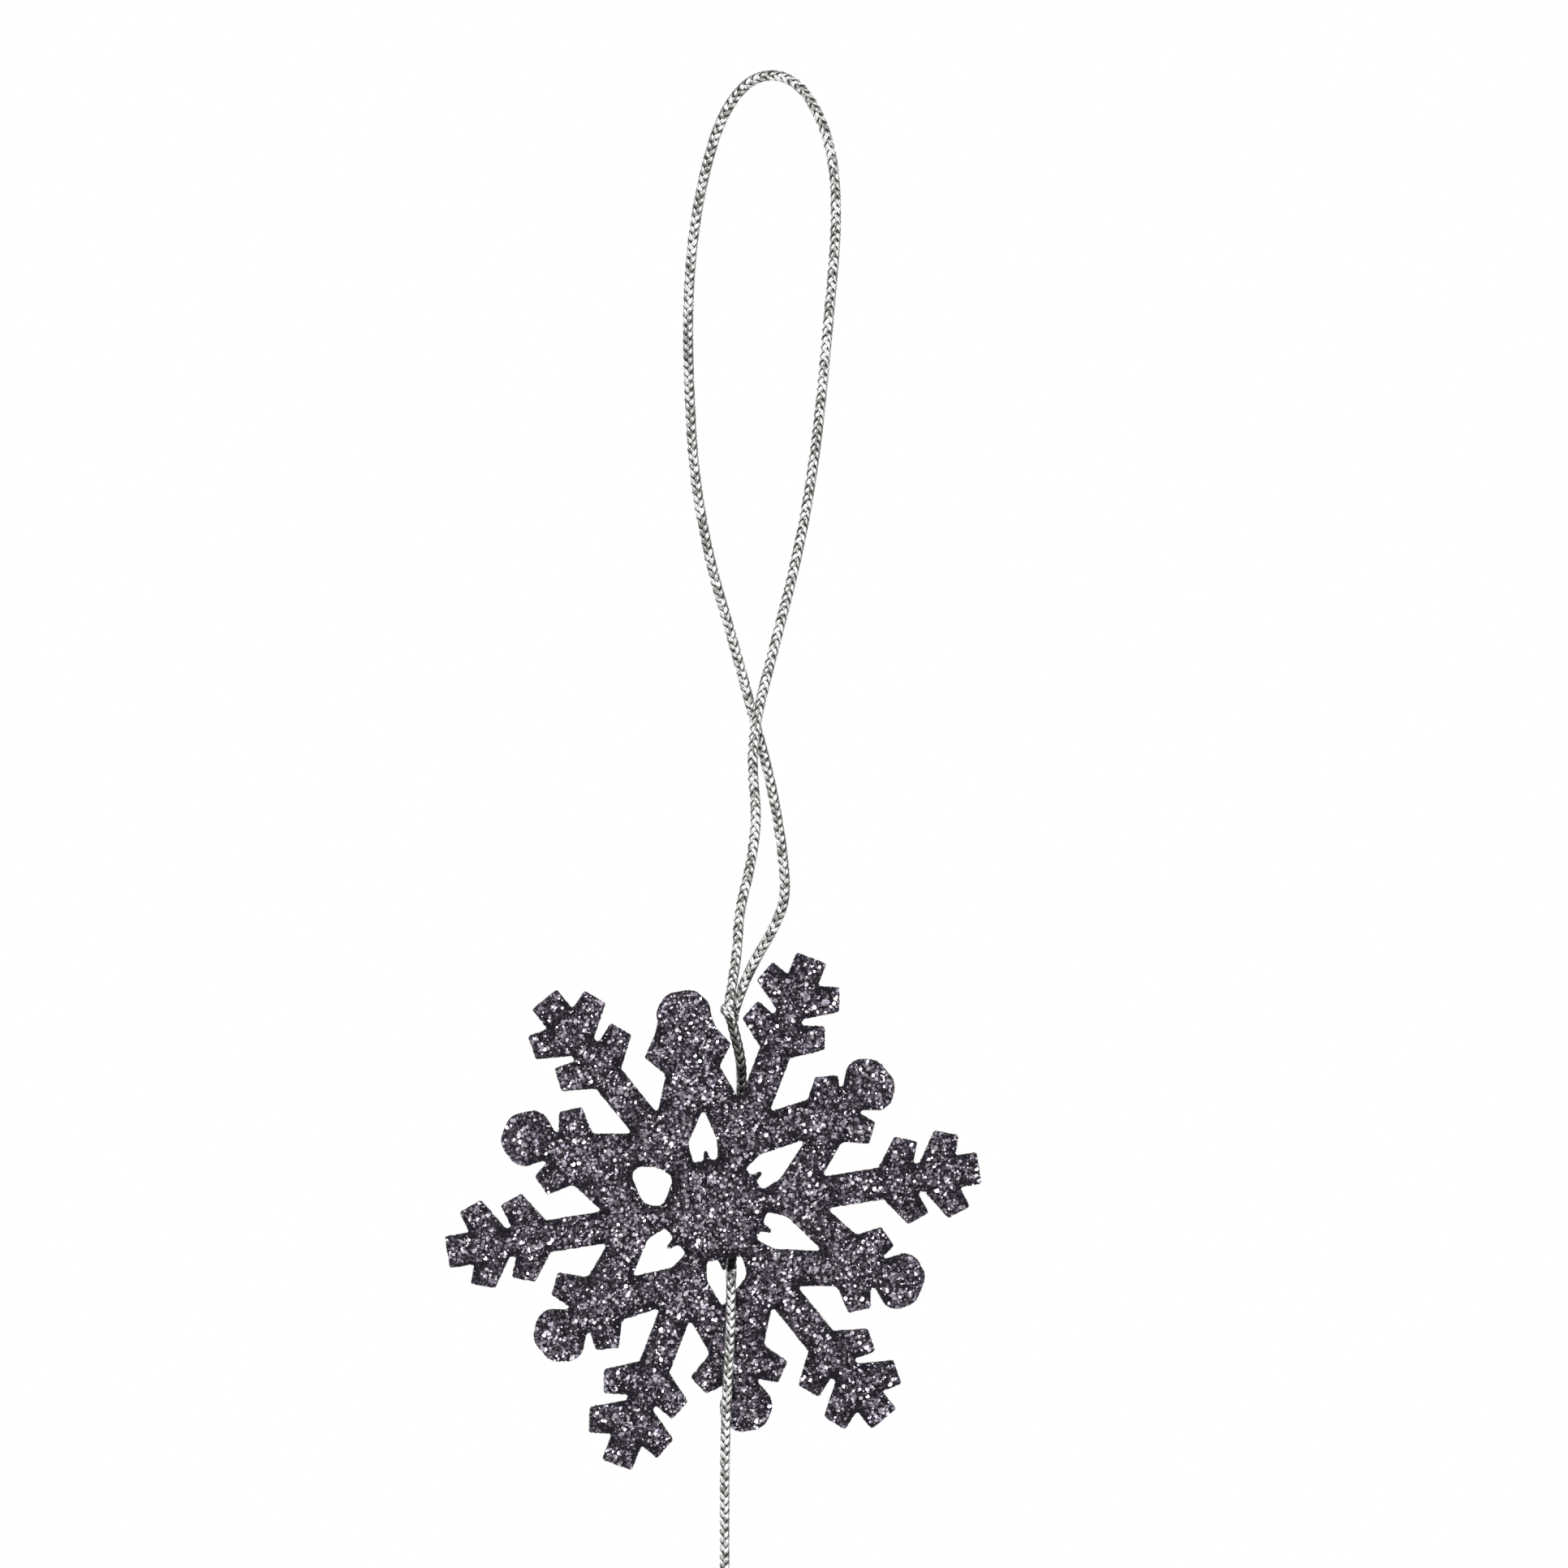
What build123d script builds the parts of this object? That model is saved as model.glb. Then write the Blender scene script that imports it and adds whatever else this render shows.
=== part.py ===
from build123d import *

import os
from math import hypot, pi, radians, tan

# A glittered snowflake of pressed board on a braided silver cord.
#
# The cord is one length. It makes the long hanging loop, is tied in a small knot,
# runs behind the snowflake's hub in a dab of glue, comes forward through one of the
# heart-shaped holes and hangs down in front of the lowest arm to its end knot.
#
# Millimetres. +Z is up and the snowflake faces -Y. The origin is the hanging point,
# the underside of the cord at the top of the loop, where a hook carries it.

# ---------------------------------------------------------------- driving sizes

BOARD_THICKNESS = 2.0
COAT_THICKNESS = 0.15
STAR_X = -5.6
STAR_Z = -107.0

CORD_DIAMETER = 1.0
FRONT_GAP = 0.3  # between the hanging tail and the snowflake's face
BACK_GAP = 0.05  # between the cord and the snowflake's back
BEND_GAP = 0.05  # between a ball end and the tube that swings round it
TWIST_GAP = 0.5  # between the strands above and below the twist

# The six fern arms: a square-ended stem with two pairs of barbs. Radii are from the
# snowflake's centre, half widths and reaches are from the arm's own middle line.
FERN_ANGLE = 9.0
STEM_HALF_WIDTH = 1.45
FORK_RADIUS = 16.0
INNER_BARB_LOW = 17.9
INNER_BARB_HIGH = 19.9
SLOT_LOW = 19.15
SLOT_HIGH = 19.9
SLOT_HALF_WIDTH = 1.3
OUTER_BARB_LOW = 21.75
OUTER_BARB_HIGH = 23.85
BARB_SLANT = 0.75
TIP_ROOT = 23.2
TIP_HALF_WIDTH = 1.45
# length, reach of the left barbs, reach of the right barbs
FERN_ARMS = (
    (25.3, 4.1, 4.15),
    (25.5, 4.0, 4.2),
    (25.6, 4.1, 4.2),
    (25.6, 4.0, 4.3),
    (25.8, 4.05, 4.3),
    (25.4, 4.1, 4.2),
)

# The six round-headed arms, each with one pair of barbs under its head
ROUND_ANGLE = 39.0
FLARE_RADIUS = 8.0
FLARE_HALF_WIDTH = 4.6
WAIST_RADIUS = 13.4
WAIST_HALF_WIDTH = 2.5
BARB_LOW = 15.3
BARB_HIGH = 17.0
NECK_SLANT = 1.15
NECK_LOW = 16.35
NECK_HIGH = 16.9
NECK_HALF_WIDTH = 1.45
HEAD_LOW = 18.3
HEAD_HIGH = 19.4
CROWN_HALF_WIDTH = 1.35
# length, half width of the head, a neck or none, reach of the left and right barbs
ROUND_ARMS = (
    (20.9, 2.6, True, 3.7, 4.25),
    (20.9, 2.5, False, 4.25, 3.9),
    (21.3, 2.6, True, 4.25, 4.5),
    (21.1, 2.6, True, 4.35, 4.65),
    (21.1, 2.4, True, 4.5, 4.65),
    (20.9, 2.6, True, 4.05, 4.5),
)

HUB_RADIUS = 9.2
NOTCH_BAND = (9.8, 11.5)  # the radii between which the arms meet in a notch
NOTCH_ROUNDING = 0.3
CORNER_ROUNDING = 0.2
SLOT_ROUNDING = 0.3
NECK_ROUNDING = 0.2
WAIST_ROUNDING = 0.7
HEAD_ROUNDING = 1.2
CROWN_ROUNDING = 1.6

# The six heart-shaped holes, one on the middle line of each round-headed arm
LOBE_RADIUS = 4.65
WIDEST_RADIUS = 6.6
CLEFT_RADIUS = 6.0
LOBE_OUTER_SHARE = 0.85
LOBE_INNER_SHARE = 0.2
POINT_ROUNDING = 0.3
SIDE_ROUNDING = 1.4
LOBE_ROUNDING = 0.42
CLEFT_ROUNDING = 0.12
DROP_ROUNDING = 1.0
# radius of the point, its lean to the left, left half width, right half width, cleft
HEARTS = (
    (11.2, -0.25, 1.45, 1.7, True),
    (9.8, -0.45, 1.6, 1.3, True),
    (9.3, -0.9, 1.95, 1.9, False),
    (10.2, 0.0, 1.8, 1.95, True),
    (9.3, -0.75, 2.2, 1.85, True),
    (11.2, 0.0, 1.95, 1.5, True),
)

GLUE_RADIUS = 3.0
GLUE_HEIGHT = 1.9
GLUE_X = -4.3
GLUE_Z = -107.0

KNOT_HALF_WIDTH = 0.95
KNOT_HALF_HEIGHT = 1.15
END_KNOT_HALF_WIDTH = 1.25
END_KNOT_HALF_HEIGHT = 1.5

# ---------------------------------------------------- levels that follow from these

CORD_RADIUS = CORD_DIAMETER / 2
FACE = BOARD_THICKNESS / 2 + COAT_THICKNESS
BACK_Y = FACE + CORD_RADIUS + BACK_GAP
FRONT_Y = -(FACE + CORD_RADIUS + FRONT_GAP)
CROSSING_Y = 0.6 * CORD_DIAMETER
STRAND_Y = 0.45 * CORD_DIAMETER
BALL_REACH = CORD_RADIUS + BEND_GAP
BEND_Y = -FACE / 4

# The four places where the cord gives: where the loop's strands cross, where the
# cord bends over the snowflake's back, and where the tail comes forward and down
TWIST_POINT = (-1.8, 0.0, -60.8)
KNOT_POINT = (-4.2, 0.0, -88.4)
TILT_POINT = (-3.15, 0.0, -92.4)
TAIL_POINT = (-4.05, FRONT_Y, -113.3)
END_KNOT_POINT = (-4.65, FRONT_Y, -144.6)

# ---------------------------------------------------------------- the cord's routes

TOP_Z = CORD_RADIUS
ABOVE_TWIST = TWIST_POINT[2] + TWIST_GAP / 2
BELOW_TWIST = TWIST_POINT[2] - TWIST_GAP / 2

LOOP_ROUTE = [
    (-1.85, CROSSING_Y, ABOVE_TWIST),
    (-3.9, 0.5, -53.0),
    (-6.2, 0.2, -45.2),
    (-7.6, 0.0, -37.2),
    (-8.05, 0.05, -29.2),
    (-8.2, 0.1, -21.6),
    (-7.7, 0.05, -14.6),
    (-6.5, 0.0, -8.2),
    (-4.8, 0.0, -2.9),
    (-2.0, 0.0, TOP_Z),
    (1.6, 0.0, TOP_Z),
    (4.2, 0.0, -2.7),
    (5.7, 0.0, -7.6),
    (5.95, 0.05, -14.0),
    (5.3, 0.0, -21.2),
    (4.6, -0.1, -29.0),
    (3.7, -0.2, -37.0),
    (2.25, -0.3, -45.0),
    (0.2, -0.5, -53.0),
    (-1.75, -CROSSING_Y, ABOVE_TWIST),
]
LEFT_STRAND_ROUTE = [
    (-1.85, -CROSSING_Y, BELOW_TWIST),
    (-2.1, -0.6, -65.2),
    (-1.6, -0.5, -69.8),
    (-2.2, -0.4, -74.4),
    (-3.3, -0.4, -78.6),
    (-3.5, -STRAND_Y, -82.8),
    (-4.1, -STRAND_Y, -86.3),
    (-4.35, -0.3, -88.4),
]
RIGHT_STRAND_ROUTE = [
    (-1.75, CROSSING_Y, BELOW_TWIST),
    (-0.6, 0.5, -65.2),
    (0.3, 0.3, -69.6),
    (0.9, 0.2, -73.8),
    (1.15, 0.2, -77.6),
    (-0.25, 0.3, -80.8),
    (-1.95, STRAND_Y, -83.6),
    (-3.2, STRAND_Y, -86.4),
    (-3.9, 0.3, -88.6),
]
NECK_ROUTE = [KNOT_POINT, (-3.7, 0.0, -90.3), TILT_POINT]
BACK_ROUTE = [
    (TILT_POINT[0] + 0.02, 0.62 * BALL_REACH, TILT_POINT[2] - 0.79 * BALL_REACH),
    (-3.05, BACK_Y + 0.1, -94.75),
    (-3.25, BACK_Y + 0.05, -99.0),
    (-3.75, BACK_Y, -105.0),
    (-4.0, BACK_Y, -109.8),
    (TAIL_POINT[0], BACK_Y, TAIL_POINT[2]),
    (TAIL_POINT[0], BEND_Y, TAIL_POINT[2]),
]
TAIL_BEND_ROUTE = [(TAIL_POINT[0], BEND_Y - BEND_GAP, TAIL_POINT[2]), TAIL_POINT]
TAIL_ROUTE = [
    (TAIL_POINT[0], FRONT_Y, TAIL_POINT[2] - BALL_REACH),
    (-4.1, FRONT_Y, -118.5),
    (-4.55, FRONT_Y, -126.0),
    (-4.7, FRONT_Y, -134.8),
    END_KNOT_POINT,
]


def corner_radii(route):
    """The largest arc that the two runs at each corner allow."""
    radii = []
    for before, corner, after in zip(route, route[1:], route[2:]):
        run_in = Vector(corner) - Vector(before)
        run_out = Vector(after) - Vector(corner)
        turn = run_in.get_angle(run_out)
        shorter = min(run_in.length, run_out.length)
        radii.append(0.45 * shorter / tan(radians(turn / 2)))
    return radii


def cord_tube(name, route, ball_at=None, less=()):
    """A tube along a route, with a ball end for a joint, less the knots it enters."""
    radii = corner_radii(route)
    with BuildPart() as tube:
        with BuildLine() as path:
            if radii:
                FilletPolyline(*route, radius=radii)
            else:
                Line(*route)
        with BuildSketch(Plane(origin=path.line @ 0, z_dir=path.line % 0)):
            Circle(CORD_RADIUS)
        sweep()
        swept, length = tube.part.volume, path.wire().length
        if ball_at is not None:
            with Locations(ball_at):
                Sphere(CORD_RADIUS)
        for knot in less:
            add(knot, mode=Mode.SUBTRACT)
    share = swept / (pi * CORD_RADIUS**2 * length)
    rounded = [round(radius, 1) for radius in radii]
    print(f"{name}: {length:.1f} long, volume {share:.4f} of its section times length")
    print(f"   corner radii {rounded}")
    return tube.part


def knot_solid(centre, half_width, half_height):
    """A plain barrel with round ends, standing on its own axis."""
    with BuildPart() as knot:
        with BuildSketch(Plane(origin=centre, x_dir=(1, 0, 0), z_dir=(0, -1, 0))):
            Ellipse(half_width, half_height)
            with Locations((-half_width, 0)):
                Rectangle(2 * half_width, 2 * half_height, mode=Mode.SUBTRACT)
        revolve(axis=Axis(centre, (0, 0, 1)))
    return knot.part


# ---------------------------------------------------------------- the outline


def two_sided(side, left, right):
    """A closed outline from one side's points, which side(reach) gives."""
    points, radii = [], []
    for x, y, radius in side(right):
        points.append((x, -y))
        radii.append(radius)
    for x, y, radius in reversed(side(left)):
        points.append((x, y))
        radii.append(radius)
    return points, radii


def fern_side(length, reach):
    """One side of a fern arm from hub to tip, as (along, across, rounding)."""
    return [
        (HUB_RADIUS / 2, STEM_HALF_WIDTH, 0),
        (FORK_RADIUS, STEM_HALF_WIDTH, SLOT_ROUNDING),
        (INNER_BARB_LOW, reach, CORNER_ROUNDING),
        (INNER_BARB_HIGH, reach - BARB_SLANT, CORNER_ROUNDING),
        (SLOT_LOW, SLOT_HALF_WIDTH, SLOT_ROUNDING),
        (SLOT_HIGH, SLOT_HALF_WIDTH, SLOT_ROUNDING),
        (OUTER_BARB_LOW, reach, CORNER_ROUNDING),
        (OUTER_BARB_HIGH, reach - BARB_SLANT, CORNER_ROUNDING),
        (TIP_ROOT, TIP_HALF_WIDTH, SLOT_ROUNDING),
        (length, TIP_HALF_WIDTH, CORNER_ROUNDING),
    ]


def round_side(length, head_half_width, has_neck, reach):
    """One side of a round-headed arm from hub to crown."""
    neck = [
        (NECK_LOW, NECK_HALF_WIDTH, NECK_ROUNDING),
        (NECK_HIGH, NECK_HALF_WIDTH, NECK_ROUNDING),
    ]
    return [
        (FLARE_RADIUS, FLARE_HALF_WIDTH, 0),
        (WAIST_RADIUS, WAIST_HALF_WIDTH, WAIST_ROUNDING),
        (BARB_LOW, reach, CORNER_ROUNDING),
        (BARB_HIGH, reach - NECK_SLANT, CORNER_ROUNDING),
        *(neck if has_neck else []),
        (HEAD_LOW, head_half_width, HEAD_ROUNDING),
        (HEAD_HIGH, head_half_width, HEAD_ROUNDING),
        (length, CROWN_HALF_WIDTH, CROWN_ROUNDING),
    ]


def arm_sketch(side, *sizes):
    """An arm lying along +X. The last two sizes are its left and right reach."""
    *shared, left, right = sizes
    points, radii = two_sided(lambda reach: side(*shared, reach), left, right)
    with BuildSketch() as arm:
        with BuildLine():
            FilletPolyline(*points, radius=radii, close=True)
        make_face()
    return arm.sketch


def heart_sketch(point_radius, lean, left, right, cleft):
    """A heart on its side along +X, its point outwards; one of them is a plain drop."""
    if cleft:
        points = [
            (point_radius, lean, POINT_ROUNDING),
            (WIDEST_RADIUS, left, SIDE_ROUNDING),
            (LOBE_RADIUS, LOBE_OUTER_SHARE * left, LOBE_ROUNDING),
            (LOBE_RADIUS, LOBE_INNER_SHARE * left, LOBE_ROUNDING),
            (CLEFT_RADIUS, 0, CLEFT_ROUNDING),
            (LOBE_RADIUS, -LOBE_INNER_SHARE * right, LOBE_ROUNDING),
            (LOBE_RADIUS, -LOBE_OUTER_SHARE * right, LOBE_ROUNDING),
            (WIDEST_RADIUS, -right, SIDE_ROUNDING),
        ]
    else:
        points = [
            (point_radius, lean, DROP_ROUNDING),
            (WIDEST_RADIUS, left, SIDE_ROUNDING),
            (LOBE_RADIUS, LOBE_OUTER_SHARE * left, DROP_ROUNDING),
            (LOBE_RADIUS, -LOBE_OUTER_SHARE * right, DROP_ROUNDING),
            (WIDEST_RADIUS, -right, SIDE_ROUNDING),
        ]
    corners = [(x, y) for x, y, _ in points]
    with BuildSketch() as heart:
        with BuildLine():
            FilletPolyline(*corners, radius=[r for _, _, r in points], close=True)
        make_face()
    return heart.sketch


def turned(angle):
    return Location((0, 0, 0), (0, 0, angle))


with BuildSketch() as outline:
    Circle(HUB_RADIUS)
    for number, sizes in enumerate(FERN_ARMS):
        with Locations(turned(FERN_ANGLE + 60 * number)):
            add(arm_sketch(fern_side, *sizes))
    for number, sizes in enumerate(ROUND_ARMS):
        with Locations(turned(ROUND_ANGLE + 60 * number)):
            add(arm_sketch(round_side, *sizes))
    low, high = NOTCH_BAND
    notches = outline.vertices().filter_by(lambda v: low < hypot(v.X, v.Y) < high)
    fillet(notches, NOTCH_ROUNDING)
    for number, sizes in enumerate(HEARTS):
        with Locations(turned(ROUND_ANGLE + 60 * number)):
            add(heart_sketch(*sizes), mode=Mode.SUBTRACT)
print(f"notches rounded: {len(notches)}")

# The snowflake's own plane: its normal is the way it faces, -Y
STAR_PLANE = Plane(origin=(STAR_X, 0, STAR_Z), x_dir=(1, 0, 0), z_dir=(0, -1, 0))


def layer(back, thickness):
    """A sheet of the snowflake's outline, from a level behind the middle forwards."""
    with BuildPart() as sheet:
        with BuildSketch(STAR_PLANE.offset(back)):
            add(outline.sketch)
        extrude(amount=thickness)
    return sheet.part


# ---------------------------------------------------------------- the snowflake

board_core = layer(-BOARD_THICKNESS / 2, BOARD_THICKNESS)
front_glitter_coat = layer(BOARD_THICKNESS / 2, COAT_THICKNESS)
back_glitter_coat = layer(-FACE, COAT_THICKNESS)

# ---------------------------------------------------------------- the cord

loop_knot = knot_solid(KNOT_POINT, KNOT_HALF_WIDTH, KNOT_HALF_HEIGHT)
end_knot = knot_solid(END_KNOT_POINT, END_KNOT_HALF_WIDTH, END_KNOT_HALF_HEIGHT)

hanging_loop = cord_tube("hanging_loop", LOOP_ROUTE)
left_strand = cord_tube("left_strand", LEFT_STRAND_ROUTE, less=[loop_knot])
right_strand = cord_tube("right_strand", RIGHT_STRAND_ROUTE, less=[loop_knot])
neck_cord = cord_tube("neck_cord", NECK_ROUTE, ball_at=TILT_POINT, less=[loop_knot])
back_cord = cord_tube("back_cord", BACK_ROUTE)
tail_bend = cord_tube("tail_bend", TAIL_BEND_ROUTE, ball_at=TAIL_POINT)
tail_cord = cord_tube("tail_cord", TAIL_ROUTE, less=[end_knot])

# The glue is a low dome on the snowflake's back, and the cord lies right through it
GLUE_SPHERE = (GLUE_RADIUS**2 + GLUE_HEIGHT**2) / (2 * GLUE_HEIGHT)
with BuildPart() as glue_dome:
    with Locations((GLUE_X, FACE + GLUE_HEIGHT - GLUE_SPHERE, GLUE_Z)):
        Sphere(GLUE_SPHERE)
    split(bisect_by=Plane.XZ.offset(-FACE), keep=Keep.BOTTOM)
    add(back_cord, mode=Mode.SUBTRACT)

# ---------------------------------------------------------------- the files

PIECES = {
    "board_core": board_core,
    "front_glitter_coat": front_glitter_coat,
    "back_glitter_coat": back_glitter_coat,
    "glue_dab": glue_dome.part,
    "hanging_loop": hanging_loop,
    "left_strand": left_strand,
    "right_strand": right_strand,
    "loop_knot": loop_knot,
    "neck_cord": neck_cord,
    "back_cord": back_cord,
    "tail_bend": tail_bend,
    "tail_cord": tail_cord,
    "end_knot": end_knot,
}
os.makedirs("parts", exist_ok=True)
for name, piece in PIECES.items():
    piece.label = name
    export_step(piece, f"parts/{name}.step")
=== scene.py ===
# %% [markdown]
# # A glittered snowflake on a braided silver cord
#
# The ornament is a snowflake cut from pressed board and covered with glitter. It hangs
# from one length of metallic cord, which makes a long loop, is knotted, runs behind the
# snowflake in a dab of glue, and comes forward through a heart-shaped hole.
#
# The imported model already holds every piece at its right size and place, so this script
# starts by loading it as a fixed frame. Everything after that only adds looks.

import math

import bpy
import numpy as np
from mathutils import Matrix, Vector, kdtree


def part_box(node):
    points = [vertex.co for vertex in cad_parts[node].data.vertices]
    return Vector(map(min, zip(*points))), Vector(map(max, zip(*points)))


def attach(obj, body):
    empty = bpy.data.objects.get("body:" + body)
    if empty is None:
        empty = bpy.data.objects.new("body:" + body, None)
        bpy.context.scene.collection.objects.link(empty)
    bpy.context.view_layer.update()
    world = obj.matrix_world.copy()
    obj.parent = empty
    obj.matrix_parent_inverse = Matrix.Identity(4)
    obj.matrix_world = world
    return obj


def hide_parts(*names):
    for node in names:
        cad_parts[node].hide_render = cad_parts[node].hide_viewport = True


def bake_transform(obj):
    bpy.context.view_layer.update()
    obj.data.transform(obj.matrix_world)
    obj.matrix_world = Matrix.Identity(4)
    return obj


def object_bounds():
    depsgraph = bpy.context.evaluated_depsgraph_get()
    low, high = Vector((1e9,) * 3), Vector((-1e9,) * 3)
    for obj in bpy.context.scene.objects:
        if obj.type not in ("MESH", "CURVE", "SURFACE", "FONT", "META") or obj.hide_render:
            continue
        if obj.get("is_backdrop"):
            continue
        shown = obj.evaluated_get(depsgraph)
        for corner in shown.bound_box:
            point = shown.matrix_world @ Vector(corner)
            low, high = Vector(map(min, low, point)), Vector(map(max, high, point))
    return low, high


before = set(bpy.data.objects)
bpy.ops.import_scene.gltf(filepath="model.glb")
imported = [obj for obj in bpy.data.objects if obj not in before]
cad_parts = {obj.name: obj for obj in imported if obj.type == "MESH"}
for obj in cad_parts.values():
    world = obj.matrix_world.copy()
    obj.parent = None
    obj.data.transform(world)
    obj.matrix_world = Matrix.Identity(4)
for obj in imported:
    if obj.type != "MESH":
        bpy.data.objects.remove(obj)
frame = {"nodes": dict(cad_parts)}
size_before = [list(corner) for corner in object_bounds()]
print("nodes:", ", ".join(frame["nodes"]))

# %% [markdown]
# ## The camera
#
# A long lens from far away shows a flat ornament without perspective, as a product
# picture does. The camera looks level at the snowflake's face, and its lens follows
# from the height that the picture should cover at that distance.

# %% Place the camera
MM = 0.001
VIEW_CENTRE = Vector((0.96, 0, -66.65)) * MM
VIEW_HEIGHT = 148.6 * MM
VIEW_DISTANCE = 1.2

bpy.ops.object.camera_add(
    location=VIEW_CENTRE - Vector((0, VIEW_DISTANCE, 0)),
    rotation=(math.radians(90), 0, 0),
)
camera = bpy.context.object
camera.name = "camera"
camera.data.sensor_width = 36
camera.data.lens = camera.data.sensor_width * VIEW_DISTANCE / VIEW_HEIGHT
camera.data.clip_start = 0.05
bpy.context.scene.camera = camera
print(f"camera: {camera.data.lens:.0f} mm lens")

# %% [markdown]
# ## The cord's line
#
# A limp cord has no corners, so its line is a NURBS spline. The control points are the
# same route that the solid tubes follow. A braid has to be laid round that line, so the
# spline is read back as a row of points and those are spaced evenly along it.

# %% Turn a route into evenly spaced points
CORD_DIAMETER = 1.0 * MM
STEP = 0.1 * MM


def metres(points):
    """Points in millimetres as points in metres."""
    return [tuple(MM * value for value in point) for point in points]


def cord_line(name, route, step=STEP):
    """Evenly spaced points on a smooth spline that has the route as control points."""
    curve = bpy.data.curves.new(name, "CURVE")
    curve.dimensions = "3D"
    curve.resolution_u = 24
    spline = curve.splines.new("NURBS")
    spline.points.add(len(route) - 1)
    for point, place in zip(spline.points, route):
        point.co = (*place, 1)
    spline.order_u = 3
    spline.use_endpoint_u = True
    guide = bpy.data.objects.new(name, curve)
    bpy.context.collection.objects.link(guide)
    bpy.context.view_layer.update()
    drawn = bpy.data.meshes.new_from_object(
        guide.evaluated_get(bpy.context.evaluated_depsgraph_get())
    )
    points = np.array([vertex.co for vertex in drawn.vertices])
    bpy.data.objects.remove(guide)
    runs = np.linalg.norm(np.diff(points, axis=0), axis=1)
    travelled = np.concatenate([[0], np.cumsum(runs)])
    even = np.linspace(0, travelled[-1], round(travelled[-1] / step) + 1)
    return np.array([np.interp(even, travelled, axis) for axis in points.T]).T


def line_length(line):
    """The length of a row of points."""
    return float(np.linalg.norm(np.diff(line, axis=0), axis=1).sum())


# %% [markdown]
# ## The cord's three routes
#
# The first route leaves the knot, climbs the left strand, goes round the loop and comes
# back down the right strand. The second goes from the knot behind the snowflake and into
# the heart-shaped hole. The third comes forward out of the hole and hangs down in front.

# %% Lay the three lines
LOOP_ROUTE = metres(
    [
        (-4.35, -0.3, -88.4),
        (-4.1, -0.45, -86.3),
        (-3.5, -0.45, -82.8),
        (-3.3, -0.4, -78.6),
        (-2.2, -0.4, -74.4),
        (-1.6, -0.5, -69.8),
        (-2.1, -0.6, -65.2),
        (-1.8, -0.6, -60.8),
        (0.2, -0.5, -53.0),
        (2.25, -0.3, -45.0),
        (3.7, -0.2, -37.0),
        (4.6, -0.1, -29.0),
        (5.3, 0.0, -21.2),
        (5.95, 0.05, -14.0),
        (5.7, 0.0, -7.6),
        (4.2, 0.0, -2.7),
        (1.6, 0.0, 0.5),
        (-2.0, 0.0, 0.5),
        (-4.8, 0.0, -2.9),
        (-6.5, 0.0, -8.2),
        (-7.7, 0.05, -14.6),
        (-8.2, 0.1, -21.6),
        (-8.05, 0.05, -29.2),
        (-7.6, 0.0, -37.2),
        (-6.2, 0.2, -45.2),
        (-3.9, 0.5, -53.0),
        (-1.8, 0.6, -60.8),
        (-0.6, 0.5, -65.2),
        (0.3, 0.3, -69.6),
        (0.9, 0.2, -73.8),
        (1.15, 0.2, -77.6),
        (-0.25, 0.3, -80.8),
        (-1.95, 0.45, -83.6),
        (-3.2, 0.45, -86.4),
        (-3.9, 0.3, -88.6),
    ]
)
NECK_ROUTE = metres(
    [
        (-4.2, 0.0, -88.4),
        (-3.7, 0.0, -90.3),
        (-3.13, 0.25, -92.7),
        (-3.05, 1.8, -94.75),
        (-3.25, 1.75, -99.0),
        (-3.75, 1.7, -105.0),
        (-4.0, 1.7, -109.8),
        (-4.05, 1.7, -113.3),
        (-4.05, -0.31, -113.3),
    ]
)
TAIL_ROUTE = metres(
    [
        (-4.05, -0.31, -113.3),
        (-4.05, -1.95, -113.3),
        (-4.05, -1.95, -115.2),
        (-4.1, -1.95, -118.5),
        (-4.55, -1.95, -126.0),
        (-4.7, -1.95, -134.8),
        (-4.65, -1.95, -144.6),
    ]
)
loop_line = cord_line("loop_line", LOOP_ROUTE)
neck_line = cord_line("neck_line", NECK_ROUTE)
tail_line = cord_line("tail_line", TAIL_ROUTE)
for name, line in (("loop", loop_line), ("neck", neck_line), ("tail", tail_line)):
    print(f"{name}: {line_length(line) / MM:.1f} mm of cord")

# %% [markdown]
# ## The braid
#
# The cord is a round braid of eight flat metallic yarns. Four wind one way and four the
# other, and each goes over two and under two of those it crosses, which gives a
# herringbone: columns of long slanted stitches that lean towards each other. Each yarn is
# a flattened tube swept along its own helix, and its distance from the middle rises and
# falls as it crosses. The columns meet at the front. A plain core fills the braid.
#
# The sweep is written as mesh code, because each yarn follows the spline's own points.

# %% Make rings round a line
LAY = 3.2 * MM  # the length in which a yarn goes once round the cord
YARNS = 8
YARN_CORNERS = 6
CORE_EVERY = 4  # the core needs fewer rings than the yarns
# shares of the cord's diameter
YARN_REACH = 0.365
YARN_RISE = 0.06
YARN_HALF_WIDTH = 0.215
YARN_HALF_HEIGHT = 0.085
CORE_RADIUS = 0.3
PROUD = 1.07  # the loop's yarns stand a little proud of a plain tube


def side_vectors(line):
    """Two directions square to the line at each point, which don't twist round it."""
    along = np.gradient(line, axis=0)
    along /= np.linalg.norm(along, axis=1)[:, None]
    side = np.cross(along[0], (0.31, 0.42, 0.85))
    first = []
    for direction in along:
        side = side - direction * (side @ direction)
        side = side / np.linalg.norm(side)
        first.append(side)
    first = np.array(first)
    return first, np.cross(along, first)


def swept(centres, wide, high, half_width, half_height, corners):
    """Rings of vertices round a row of centres."""
    turn = 2 * math.pi * np.arange(corners) / corners
    across = half_width * np.cos(turn)[None, :, None] * wide[:, None, :]
    upward = half_height * np.sin(turn)[None, :, None] * high[:, None, :]
    return centres[:, None, :] + across + upward


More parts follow.
